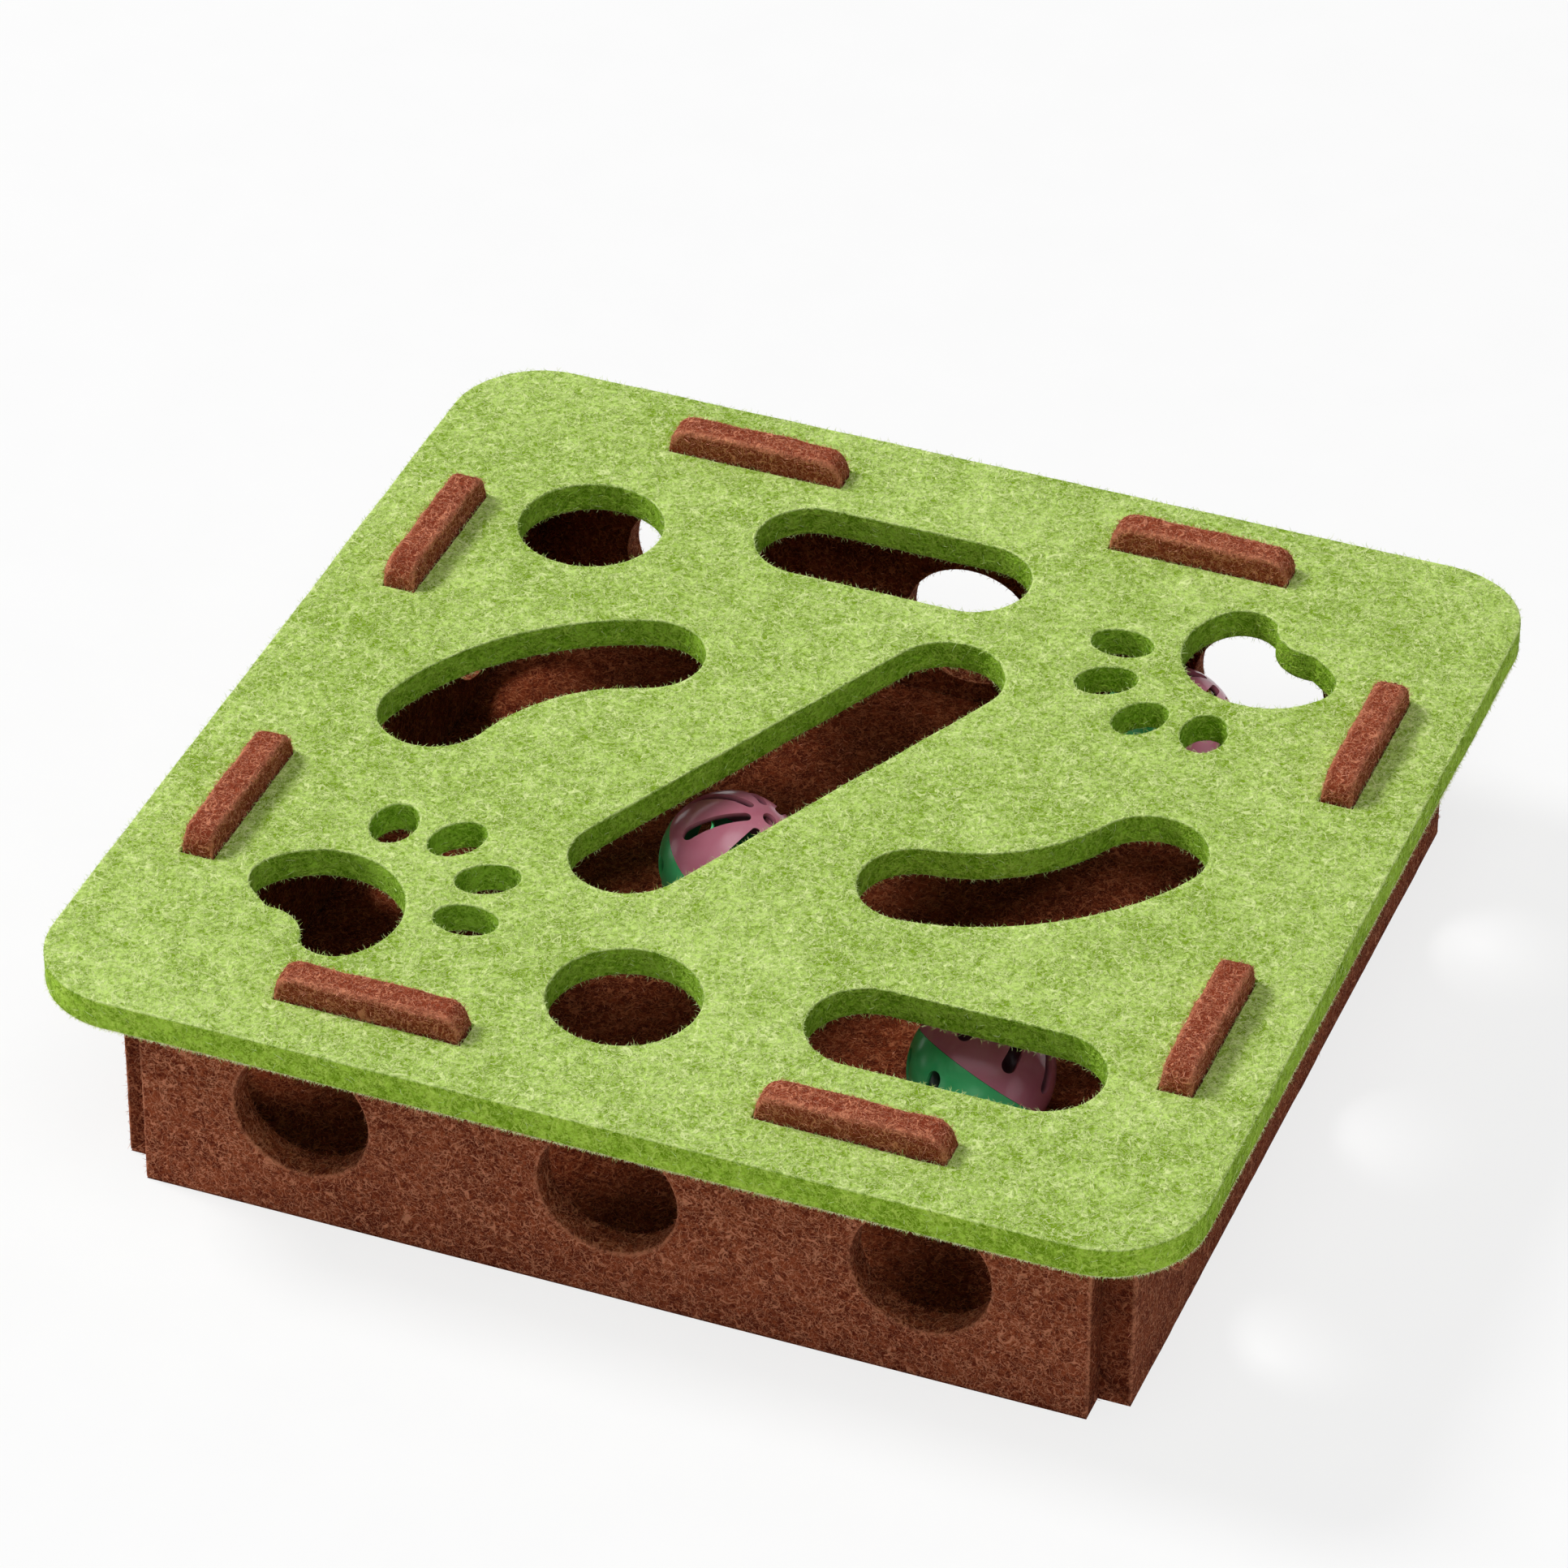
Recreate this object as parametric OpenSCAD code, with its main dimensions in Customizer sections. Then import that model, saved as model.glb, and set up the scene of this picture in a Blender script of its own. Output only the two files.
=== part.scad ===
// Felt maze box for cats: a folded felt tray, a lift-off felt lid with play cut-outs,
// and openwork bell balls that roll about inside. Millimetres, +Z up.
// The origin is on the ground, under the middle of the tray.

/* [Felt] */
// Thickness of the felt sheet for the tray and the lid
felt_t = 8.5; // [6:0.5:10]

/* [Lid] */
// Side of the square lid
lid_w = 300; // [290:1:340]
// Corner radius of the lid
lid_corner_r = 25; // [5:1:40]

/* [Tray] */
// Reach of the lid past the outer faces of the walls
lid_overhang = 17; // [12:0.5:20]
// Height from the ground to the top of the tabs
total_h = 75; // [72:1:110]
// Height of the tabs above the lid
tab_rise = 7; // [3:0.5:12]
// Width of one tab
tab_w = 49; // [30:1:60]
// Distance between the middles of a wall's two tabs
tab_pitch = 125; // [90:1:150]
// Radius of a tab's top corners
tab_corner_r = 5.5; // [1:0.5:7]
// Round openings in one wall
side_hole_count = 3; // [1:1:3]
// Diameter of the openings in the walls
side_hole_d = 36; // [24:0.5:40]
// Distance between the middles of neighbouring wall openings
side_hole_pitch = 81; // [60:1:90]
// Height of the middle of a wall opening above the ground
side_hole_z = 32.5; // [27:0.5:34]

/* [Lid cut-outs: sizes] */
// Diameter of the round cut-outs
round_d = 38.5; // [24:0.5:44]
// Overall length of a bar cut-out
bar_len = 76; // [50:1:84]
// Width of a bar cut-out
bar_w = 31; // [20:0.5:34]
// Overall length of the diagonal cut-out
diagonal_len = 142.5; // [90:0.5:150]
// Width of the diagonal cut-out
diagonal_w = 30.8; // [20:0.2:34]
// Distance between the two end centres of a bean cut-out
bean_chord = 60; // [40:1:66]
// Height of the bean's middle line above that chord
bean_rise = 7.5; // [3:0.5:14]
// Width of a bean cut-out
bean_w = 30; // [18:0.5:34]

/* [Paw cut-outs: sizes] */
// Radius of the pad's round toe side
pad_r = 22.3; // [18:0.1:24]
// Distance of that round's middle from the middle of the paw, towards the toes
pad_x = -2.5; // [-6:0.5:2]
// Length of the pad from its toe side to its heel
pad_len = 33; // [28:0.5:40]
// Radius of the pad's two heel lobes
pad_heel_r = 9.5; // [6:0.5:11]
// Radius of the notch between the heel lobes
pad_notch_r = 12; // [4:0.5:14]
// Depth of that notch
pad_notch_depth = 3.4; // [1:0.2:5]
// Distance of that notch from the pad's axis, to the left
pad_notch_y = -3; // [-4:0.5:4]
// Turn of the pad against its toes
pad_turn = 5; // [-10:1:10]
// Length of a toe
toe_len = 16.8; // [12:0.2:20]
// Width of a toe
toe_w = 12; // [8:0.2:13]
// Radius of a toe's round ends
toe_end_r = 4.8; // [3:0.1:5.5]
// Distance of the inner and outer toes from the middle of the pad
toe_reach = [41, 36]; // [30:0.5:46]
// Angle of the inner and outer toes from the paw's axis
toe_angle = [13, 38]; // [8:1:44]
// Angle that the inner and outer toes' long sides make with the paw's axis
toe_turn = [15, 45]; // [0:1:60]

/* [Lid cut-outs: places] */
// Back left round cut-out: its middle's distance from the lid's left and back edges
round_back_in = [57, 66]; // [45:0.5:75]
// Front round cut-out: its middle's distance to the right of the lid's middle and from the front edge
round_front_in = [-8, 49]; // [-10:0.5:60]
// Back bar cut-out: its middle's distance to the right of the lid's middle and from the back edge
bar_back_in = [-13, 51.5]; // [-20:0.5:60]
// Front right bar cut-out: its middle's distance from the lid's right and front edges
bar_front_in = [76, 59.5]; // [50:0.5:80]
// Middle of the diagonal cut-out
diagonal_at = [-5, 3]; // [-40:0.5:40]
// Angle of the diagonal cut-out from the lid's front edge
diagonal_angle = 65.3; // [55:0.1:75]
// Middle of the left bean's chord
bean_left_at = [-77.3, 13]; // [-100:0.5:100]
// Direction of the left bean's chord
bean_left_angle = 47; // [35:1:60]
// Middle of the right bean's chord
bean_right_at = [67, -15.3]; // [-100:0.5:100]
// Direction of the right bean's chord
bean_right_angle = 215; // [205:1:235]
// Back right paw: distance of its pad's middle from the lid's right and back edges
paw_back_in = [58.7, 59.7]; // [55:0.1:65]
// Direction of that paw's toes
paw_back_angle = 227; // [210:1:240]
// Front left paw: distance of its pad's middle from the lid's left and front edges
paw_front_in = [58.5, 57.5]; // [55:0.1:65]
// Direction of that paw's toes
paw_front_angle = 47; // [30:1:60]

/* [Bell balls] */
// Outer diameter of a ball
ball_d = 37.5; // [34:0.5:40]
// Wall of the ball's plastic halves
shell_t = 1.6; // [1.2:0.1:2.2]
// Slots round each half
slot_count = 8; // [5:1:9]
// Radius of a slot's wide end, near the seam
slot_wide_r = 2; // [1.2:0.1:2.6]
// Radius of a slot's narrow end, near the pole
slot_narrow_r = 1.3; // [0.8:0.1:1.6]
// Angle from the seam to the middle of a slot's wide end
slot_seam_angle = 22; // [18:1:30]
// Angle from the pole to the middle of a slot's narrow end
slot_pole_angle = 21; // [19:1:30]
// Diameter of the hole at each pole
pole_hole_d = 4; // [2:0.5:6]
// Wall of the tongue that holds the halves together
tongue_t = 0.7; // [0.4:0.05:0.9]
// Length of that tongue
tongue_len = 1.5; // [0.8:0.1:2.5]
// Place of the first ball on the floor
ball_1_at = [-23.5, 9]; // [-100:0.5:100]
// Tilt, heading and spin of the first ball's pink pole
ball_1_turn = [33, 8, 29]; // [-180:1:180]
// Place of the second ball on the floor
ball_2_at = [66, -48]; // [-100:0.5:100]
// Tilt, heading and spin of the second ball's pink pole
ball_2_turn = [44, 57, 10]; // [-180:1:180]
// Distance of the third ball to the right of the middle
ball_3_x = 63; // [-100:0.5:100]
// Gap between the third ball and the back wall
ball_3_wall_gap = 2.25; // [1:0.25:20]
// Tilt, heading and spin of the third ball's pink pole
ball_3_turn = [55, 52, 0]; // [-180:1:180]

/* [Jingle bells] */
// Outer diameter of the bell inside a ball
bell_d = 14; // [11:0.5:16]
// Thickness of the bell's sheet metal
bell_t = 0.5; // [0.3:0.05:0.7]
// Width of the flange round the bell cup
flange_w = 1.3; // [1:0.1:1.6]
// Width of the crown's lip under that flange
lip_w = 0.7; // [0.4:0.1:0.8]
// Lean of the bell in its ball
bell_lean = 25; // [0:1:30]
// Radius of the wire loop's middle line
loop_r = 2; // [1.5:0.1:2.5]
// Radius of the loop's wire
loop_wire_r = 0.6; // [0.4:0.05:0.8]
// Width of the sound slits
slit_w = 1.6; // [1:0.1:2]
// Distance from the bell's axis to the end of a slit
slit_reach = 4.2; // [3:0.1:4.6]
// Radius of the round slit ends
slit_end_r = 1.2; // [0.9:0.05:1.4]
// Diameter of the pellet in the bell
pellet_d = 4; // [3:0.1:5]

/* [Fits] */
// Gap between a tab and its slot in the lid, on each side
tab_gap = 0.3; // [0.1:0.05:0.8]
// Gap left in a fold groove once it is folded
fold_gap = 0.3; // [0.1:0.05:0.8]
// Gap between a wall's end and the next wall's inner face
corner_gap = 0.15; // [0.1:0.05:0.8]
// Gap under a ball
roll_gap = 0.3; // [0.1:0.05:0.6]
// Gap between the two halves of a ball at the seam
seam_gap = 0.1; // [0.05:0.05:0.2]
// Gap round the tongue between the halves
tongue_gap = 0.15; // [0.05:0.05:0.2]
// Gap between the bell and the inside of its ball
bell_gap = 0.3; // [0.1:0.05:0.6]
// Gap round the flange in the bell's crimped rim
crimp_gap = 0.1; // [0.05:0.05:0.2]
// Gap between the pellet and the inside of its bell
pellet_gap = 0.3; // [0.1:0.05:0.6]

/* [Hidden] */
$fn = 96;
// Overrun of cutting tools past the faces that they cut
over = 1;
// Depth that the wire loop's feet sink into the bell's crown
loop_sink = 0.1;
// Reach of a paw's heel lobes past the round of its pad
pad_lap = 0.05;

tray_w = lid_w - 2 * lid_overhang;
inner_w = tray_w - 2 * felt_t;
wall_len = inner_w - 2 * corner_gap;
lid_top_z = total_h - tab_rise;
lid_z = lid_top_z - felt_t;
tab_mid = inner_w / 2 + felt_t / 2;

lid_edge = lid_w / 2;
round_back_at = [-lid_edge + round_back_in[0], lid_edge - round_back_in[1]];
round_front_at = [round_front_in[0], -lid_edge + round_front_in[1]];
bar_back_at = [bar_back_in[0], lid_edge - bar_back_in[1]];
bar_front_at = [lid_edge - bar_front_in[0], -lid_edge + bar_front_in[1]];
paw_back_at = [lid_edge - paw_back_in[0], lid_edge - paw_back_in[1]];
paw_front_at = [-lid_edge + paw_front_in[0], -lid_edge + paw_front_in[1]];

bean_r = bean_chord * bean_chord / (8 * bean_rise) + bean_rise / 2;
bean_half_angle = asin(bean_chord / 2 / bean_r);
pad_heel_x = pad_x + pad_r - pad_len + pad_heel_r;
pad_heel_y = sqrt(pow(pad_r - pad_heel_r + pad_lap, 2) - pow(pad_heel_x - pad_x, 2));
toe_end_x = toe_len / 2 - toe_end_r;
toe_side_r = (toe_end_x * toe_end_x + toe_w * toe_w / 4 - toe_end_r * toe_end_r) / (toe_w - 2 * toe_end_r);
toe_side_y = toe_side_r - toe_w / 2;
toe_join_x = toe_end_x * toe_side_r / (toe_side_r - toe_end_r);

ball_r = ball_d / 2;
ball_in_r = ball_r - shell_t;
ball_z = felt_t + roll_gap + ball_r;
ball_3_at = [ball_3_x, inner_w / 2 - ball_3_wall_gap - ball_r];
ball_places = [ball_1_at, ball_2_at, ball_3_at];
ball_turns = [ball_1_turn, ball_2_turn, ball_3_turn];
slot_mid_angle = (slot_pole_angle + 90 - slot_seam_angle) / 2;
slot_half_angle = (90 - slot_seam_angle - slot_pole_angle) / 2;
slot_half_len = ball_r * sin(slot_half_angle);
slot_base_z = sqrt(pow(ball_in_r, 2) - pow(slot_half_len + slot_wide_r, 2)) - over / 2;

bell_r = bell_d / 2;
bell_in_r = bell_r - bell_t;
bell_drop = ball_in_r - bell_gap - bell_r;
flange_r = bell_r + flange_w;
hem_r = flange_r + crimp_gap + bell_t;
hem_z = -bell_t - 2 * crimp_gap;
slit_top_z = -bell_t - crimp_gap - over;
loop_z = sqrt(pow(bell_r, 2) - pow(loop_r + loop_wire_r, 2)) - loop_sink;
pellet_r = pellet_d / 2;
pellet_drop = bell_in_r - pellet_gap - pellet_r;

green_felt = [0.60, 0.71, 0.33];
brown_felt = [0.42, 0.24, 0.17];
pink_plastic = [0.76, 0.42, 0.52];
green_plastic = [0.26, 0.68, 0.44];
bell_metal = [0.80, 0.80, 0.78];
pellet_metal = [0.55, 0.55, 0.57];

WALLS = ["front_wall", "right_wall", "back_wall", "left_wall"];
BALL_PIECES = ["pink_half", "green_half", "bell_crown", "bell_cup", "pellet"];
function ball_node(i, piece) = str("ball_", i + 1, "_", piece);

// Outlines

// Square with round corners, centred
module rounded_square(side, r) {
    square([side, side - 2 * r], center = true);
    square([side - 2 * r, side], center = true);
    for (x = [-1, 1])
        for (y = [-1, 1])
            translate([x, y] * (side / 2 - r))
                circle(r);
}

// Two round ends, at a and b, and the straight-sided band between them
module tapered_bar(a, ra, b, rb) {
    span = norm(b - a);
    translate(a)
        rotate(atan2(b[1] - a[1], b[0] - a[0])) {
            circle(ra);
            translate([span, 0])
                circle(rb);
            polygon([[0, ra], [0, -ra], [span, -rb], [span, rb]]);
        }
}

// Bar with round ends, centred along X
module bar(length, width) {
    half = (length - width) / 2;
    tapered_bar([-half, 0], width / 2, [half, 0], width / 2);
}

// Bent bar with round ends: chord along X, bulging to +Y
module bean() {
    reach = (bean_r + bean_w) / cos(bean_half_angle);
    for (side = [-1, 1])
        translate([side * bean_chord / 2, 0])
            circle(bean_w / 2);
    translate([0, bean_rise - bean_r])
        intersection() {
            difference() {
                circle(bean_r + bean_w / 2);
                circle(bean_r - bean_w / 2);
            }
            polygon([
                [0, 0],
                reach * [sin(bean_half_angle), cos(bean_half_angle)],
                reach * [-sin(bean_half_angle), cos(bean_half_angle)]
            ]);
        }
}

// Oval of four arcs, long along X
module toe() {
    intersection() {
        translate([0, -toe_side_y])
            circle(toe_side_r);
        translate([0, toe_side_y])
            circle(toe_side_r);
        square([2 * toe_join_x, 2 * toe_w], center = true);
    }
    for (side = [-1, 1])
        translate([side * toe_end_x, 0])
            circle(toe_end_r);
}

// Pad of a paw: round toe side at +X, and at -X a heel of two lobes with a notch between them
module pad() {
    heel_line = pad_heel_x - pad_heel_r;
    difference() {
        union() {
            intersection() {
                translate([pad_x, 0])
                    circle(pad_r);
                translate([pad_heel_x, -pad_r - over])
                    square(2 * (pad_r + over));
            }
            translate([heel_line, -pad_heel_y])
                square([pad_heel_r + over, 2 * pad_heel_y]);
            for (side = [-1, 1])
                translate([pad_heel_x, side * pad_heel_y])
                    circle(pad_heel_r);
        }
        translate([heel_line + pad_notch_depth - pad_notch_r, pad_notch_y])
            circle(pad_notch_r);
    }
}

// Paw print: the pad and two pairs of toes, toes towards +X
module paw() {
    rotate(pad_turn)
        pad();
    for (side = [-1, 1])
        for (pair = [0, 1])
            rotate(side * toe_angle[pair])
                translate([toe_reach[pair], 0])
                    rotate(side * (toe_turn[pair] - toe_angle[pair]))
                        toe();
}

// Slots of the eight tabs, all round the lid
module tab_slots() {
    for (quarter = [0:3])
        rotate(90 * quarter)
            for (side = [-1, 1])
                translate([side * tab_pitch / 2, -tab_mid])
                    square([tab_w + 2 * tab_gap, felt_t + 2 * tab_gap], center = true);
}

// Felt pieces

module lid_panel() {
    color(green_felt)
        translate([0, 0, lid_z])
            linear_extrude(felt_t)
                difference() {
                    rounded_square(lid_w, lid_corner_r);
                    tab_slots();
                    translate(round_back_at) circle(d = round_d);
                    translate(round_front_at) circle(d = round_d);
                    translate(bar_back_at) bar(bar_len, bar_w);
                    translate(bar_front_at) bar(bar_len, bar_w);
                    translate(diagonal_at) rotate(diagonal_angle) bar(diagonal_len, diagonal_w);
                    translate(bean_left_at) rotate(bean_left_angle) bean();
                    translate(bean_right_at) rotate(bean_right_angle) bean();
                    translate(paw_back_at) rotate(paw_back_angle) paw();
                    translate(paw_front_at) rotate(paw_front_angle) paw();
                }
}

// Outline of one wall: a board with two tabs and a row of round openings, standing on Y = 0
module wall_outline() {
    difference() {
        union() {
            translate([-wall_len / 2, 0])
                square([wall_len, lid_z]);
            for (side = [-1, 1])
                translate([side * tab_pitch / 2, 0])
                    tab_outline();
        }
        for (i = [0:side_hole_count - 1])
            translate([(i - (side_hole_count - 1) / 2) * side_hole_pitch, side_hole_z])
                circle(d = side_hole_d);
    }
}

// Tab with round top corners, rooted in the wall
module tab_outline() {
    flat_w = tab_w - 2 * tab_corner_r;
    root_z = side_hole_z + side_hole_d / 2;
    translate([-tab_w / 2, root_z])
        square([tab_w, total_h - tab_corner_r - root_z]);
    translate([-flat_w / 2, root_z])
        square([flat_w, total_h - root_z]);
    for (side = [-1, 1])
        translate([side * flat_w / 2, total_h - tab_corner_r])
            circle(tab_corner_r);
}

// Prism along a wall: the profile's X runs inwards from the wall's outer face, its Y upwards
module along_wall(length) {
    translate([-length / 2, -tray_w / 2, 0])
        rotate([90, 0, 90])
            linear_extrude(length)
                children();
}

// One wall, a quarter turn on for each step; its lower edge is mitred for the fold
module wall(quarter) {
    color(brown_felt)
        rotate([0, 0, 90 * quarter])
            difference() {
                translate([0, -inner_w / 2, 0])
                    rotate([90, 0, 0])
                        linear_extrude(felt_t)
                            wall_outline();
                along_wall(tray_w)
                    polygon([[-over, -over], [felt_t + over, -over], [felt_t + over, felt_t + over]]);
            }
}

// Floor of the tray, mitred along the four folds
module tray_floor() {
    core_w = inner_w - 2 * fold_gap;
    color(brown_felt) {
        translate([-core_w / 2, -core_w / 2, 0])
            cube([core_w, core_w, felt_t]);
        for (quarter = [0:3])
            rotate([0, 0, 90 * quarter])
                along_wall(wall_len)
                    polygon([[fold_gap, 0], [felt_t + fold_gap, 0], [felt_t + fold_gap, felt_t]]);
    }
}

// Bell balls

// Moves a piece from the ball's own middle to ball i's place on the floor
module at_ball(i) {
    translate([ball_places[i][0], ball_places[i][1], ball_z])
        children();
}

// The same, with the ball's pink pole turned from +Z to where it points
module at_turned_ball(i) {
    at_ball(i)
        rotate([0, ball_turns[i][0], ball_turns[i][1]])
            rotate([0, 0, ball_turns[i][2]])
                children();
}

// Thin ball wall between two radii and two heights
module spherical_zone(r_out, r_in, z_low, z_high) {
    difference() {
        intersection() {
            sphere(r_out);
            translate([-r_out - over, -r_out - over, z_low])
                cube([2 * (r_out + over), 2 * (r_out + over), z_high - z_low]);
        }
        sphere(r_in);
    }
}

// Cutters for the slots and the pole hole of the half above Z = 0
module shell_cuts() {
    for (k = [0:slot_count - 1])
        rotate([0, slot_mid_angle, 360 / slot_count * k])
            translate([0, 0, slot_base_z])
                linear_extrude(ball_r + over - slot_base_z)
                    tapered_bar([slot_half_len, 0], slot_wide_r, [-slot_half_len, 0], slot_narrow_r);
    cylinder(d = pole_hole_d, h = ball_r + over);
}

// Upper half of a ball, with the tongue that reaches into the other half
module pink_half(i) {
    color(pink_plastic)
        at_turned_ball(i)
            difference() {
                union() {
                    spherical_zone(ball_r, ball_in_r, 0, ball_r + over);
                    spherical_zone(ball_in_r + tongue_t, ball_in_r, -tongue_len, over);
                }
                shell_cuts();
            }
}

// Lower half of a ball, rebated for the tongue
module green_half(i) {
    color(green_plastic)
        at_turned_ball(i)
            difference() {
                spherical_zone(ball_r, ball_in_r, -ball_r - over, -seam_gap);
                spherical_zone(
                    ball_in_r + tongue_t + tongue_gap,
                    ball_in_r - over,
                    -tongue_len - tongue_gap,
                    over
                );
                mirror([0, 0, 1])
                    shell_cuts();
            }
}

// Moves a piece from the bell's own middle to the bell of ball i
module at_bell(i) {
    at_ball(i)
        translate([0, 0, -bell_drop])
            children();
}

// Upper half of the bell: dome, wire loop and the rim that is rolled over the cup's flange
module bell_crown(i) {
    color(bell_metal)
        at_bell(i)
            rotate([0, bell_lean, 0]) {
                spherical_zone(bell_r, bell_in_r, 0, bell_r + over);
                rotate_extrude()
                    polygon([
                        [bell_in_r, 0],
                        [hem_r - bell_t, 0],
                        [hem_r - bell_t, hem_z],
                        [flange_r - lip_w, hem_z],
                        [flange_r - lip_w, hem_z - bell_t],
                        [hem_r, hem_z - bell_t],
                        [hem_r, bell_t],
                        [bell_in_r, bell_t]
                    ]);
                translate([0, 0, loop_z])
                    rotate([90, 0, 0])
                        rotate_extrude(angle = 180)
                            translate([loop_r, 0])
                                circle(loop_wire_r);
            }
}

// Lower half of the bell: bowl with a flange and two crossed sound slits with round ends
module bell_cup(i) {
    color(bell_metal)
        at_bell(i)
            rotate([0, bell_lean, 0])
                difference() {
                    union() {
                        spherical_zone(bell_r, bell_in_r, -bell_r - over, -crimp_gap);
                        translate([0, 0, -crimp_gap - bell_t])
                            linear_extrude(bell_t)
                                difference() {
                                    circle(flange_r);
                                    circle(bell_in_r);
                                }
                    }
                    translate([0, 0, -bell_r - over])
                        linear_extrude(slit_top_z + bell_r + over)
                            for (turn = [0, 90])
                                rotate(turn)
                                    slit_outline();
                }
}

// One sound slit with round ends
module slit_outline() {
    square([2 * slit_reach, slit_w], center = true);
    for (side = [-1, 1])
        translate([side * slit_reach, 0])
            circle(slit_end_r);
}

// Steel pellet at the bottom of the bell
module pellet(i) {
    color(pellet_metal)
        at_bell(i)
            translate([0, 0, -pellet_drop])
                sphere(pellet_r);
}

tray_floor();
lid_panel();
for (quarter = [0:3]) {
    wall(quarter);
}
for (i = [0:len(ball_places) - 1]) {
    pink_half(i);
    green_half(i);
    bell_crown(i);
    bell_cup(i);
    pellet(i);
}
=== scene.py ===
import math
import random

import bmesh
import bpy
import numpy as np
from mathutils import Matrix, Vector, geometry, noise


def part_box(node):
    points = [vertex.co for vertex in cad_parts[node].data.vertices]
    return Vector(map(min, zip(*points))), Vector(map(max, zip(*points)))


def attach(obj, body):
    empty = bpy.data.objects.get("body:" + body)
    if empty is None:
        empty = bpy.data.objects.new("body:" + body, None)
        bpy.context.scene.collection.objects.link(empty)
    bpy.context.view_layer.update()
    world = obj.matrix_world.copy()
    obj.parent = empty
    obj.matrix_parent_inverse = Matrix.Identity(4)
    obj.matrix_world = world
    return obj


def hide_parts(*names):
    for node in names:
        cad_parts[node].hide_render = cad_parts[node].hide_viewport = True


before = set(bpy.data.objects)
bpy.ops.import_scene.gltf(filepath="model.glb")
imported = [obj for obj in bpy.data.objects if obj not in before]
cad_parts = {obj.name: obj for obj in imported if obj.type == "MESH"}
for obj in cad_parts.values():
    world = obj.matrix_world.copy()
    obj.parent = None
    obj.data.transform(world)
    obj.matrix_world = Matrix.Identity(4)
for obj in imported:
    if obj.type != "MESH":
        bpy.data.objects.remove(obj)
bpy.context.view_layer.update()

# Looks of a felt maze box for cats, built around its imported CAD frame. Metres, +Z up.

# Camera, fitted to the square lid
CAMERA_AT = (0.54575, -1.43276, 1.19224)
CAMERA_AIM = (-0.00345, -0.00546, 0.068)
CAMERA_ROLL = math.radians(0.356)
LENS_MM = 172.5
CLIP_END = 50.0

# Places in the frame
BALLS = ("ball_1_", "ball_2_", "ball_3_")
LANES = [sum(c.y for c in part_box(ball + "bell_cup")) / 2 for ball in BALLS]  # ways of the balls
LID_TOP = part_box("lid_panel")[1].z
LID_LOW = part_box("lid_panel")[0].z
FLOOR_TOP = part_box("tray_floor")[1].z
WALLS = {
    "front_wall": (0, -1, 0),
    "right_wall": (1, 0, 0),
    "back_wall": (0, 1, 0),
    "left_wall": (-1, 0, 0),
}

# Felt boards
EDGE_R = 0.0006  # softness of a die-cut edge of the lid
WALL_EDGE_R = 0.0010  # softness of a wall's outer edge
TAB_EDGE_R = 0.0016  # softness of a tab above the lid, worn round by handling
INNER_EDGE_R = 0.0003  # softness of the edges inside the box, where the walls' ends meet
END_GROW = 0.0003  # reach of a wall's ends past the CAD board, so that they touch at the corners
RAMP = 0.0025  # height over which a tab takes on its rounder edge
EDGE_STEPS = 4
SIDE_STEPS = 3
RIM_STEP = 0.0017  # spacing of points along an edge
CAP_STEP = 0.0048  # spacing of points inside a face
CAP_JITTER = 0.25  # how far such a point strays, as a share of the spacing
CAP_CLEAR = 0.5  # how near such a point may come to an edge, as a share of the spacing
CORNER = math.radians(30)  # sharper turns of an outline stay corners
LOW_LEFT = np.array([1.0, 1.003])  # direction that tells the lowest left point, without ties
MITRE_MAX = 1.5
FACING = 0.99  # cosine that counts as facing along a direction
FLUSH = 1e-5  # distance that counts as lying in a plane
TWIN = 1e-6  # distance that counts as one point of a CAD mesh
WELD = 1e-5  # distance at which the points of a new board merge
SLIVER = 1e-6  # shorter edges dissolve
WAVE, WAVE_LEN = 0.00022, 0.022  # slow unevenness of a board
GRAIN, GRAIN_LEN = 0.00010, 0.0034  # fine unevenness of its edges
LUMP, LUMP_LEN = 0.00045, 0.0075  # unevenness of a tab above the lid
FLOOR_EDGE_R = 0.0007
FLOOR_EDGE_STEPS = 2
FLAT_ANGLE = 0.01  # smaller bends of the CAD floor dissolve

# Loose fibres
SEED = 7
HAIR_SIDES = 3
HAIR_R = 0.00006
HAIR_ROOT = 2  # depth of a root in the felt, in radii
HAIR_KNEE = 0.5  # place of the bend along a hair
HAIR_TAPER = 0.8  # radius at the bend against the root's
HAIR_CURL = (0.3, 1.0)  # least and greatest share of a coat's curl
EDGE_SLANT = 1.6  # lean along the edge
EDGE_SPREAD = 0.6  # lean any way
EDGE_LENGTHS = (0.3, 1.0)  # least and greatest share of a coat's length
FACE_LENGTHS = (0.4, 1.0)
FACE_WIDTHS = (0.8, 1.4)
LYING = (0.02, 0.30)  # least and greatest lift of hairs off a face
STANDING = (0.08, 0.9)
FUZZ_CURL = 0.8
LINT_CURL = 0.9
LID_FUZZ = (1000, 0.0017)  # hairs to a metre of edge, greatest length
RIM_FUZZ = (6000, 0.0010)
WALL_FUZZ = (800, 0.0016)
LID_LINT = (60000, 0.0030)  # hairs to a square metre of face, greatest length
WALL_LINT = (45000, 0.0032)
FLOOR_LINT = (60000, 0.0032)
TAB_NAP = (600000, 0.0024)
LANE_HALF = 0.008  # no hairs grow nearer to the line along which a ball rolls
GROUND_GAP = 0.0022  # no hairs grow lower than this
LID_GAP = 0.0005  # no hairs of a wall grow nearer to the lid than this
NAP_GAP = 0.0008  # nor do those of a tab's nap
FLOOR_SKIN = 0.0002  # depth below the floor's top that still counts as its upper side
RIM_AT = 0.136  # only the lid's own outline lies farther out than this


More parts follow.
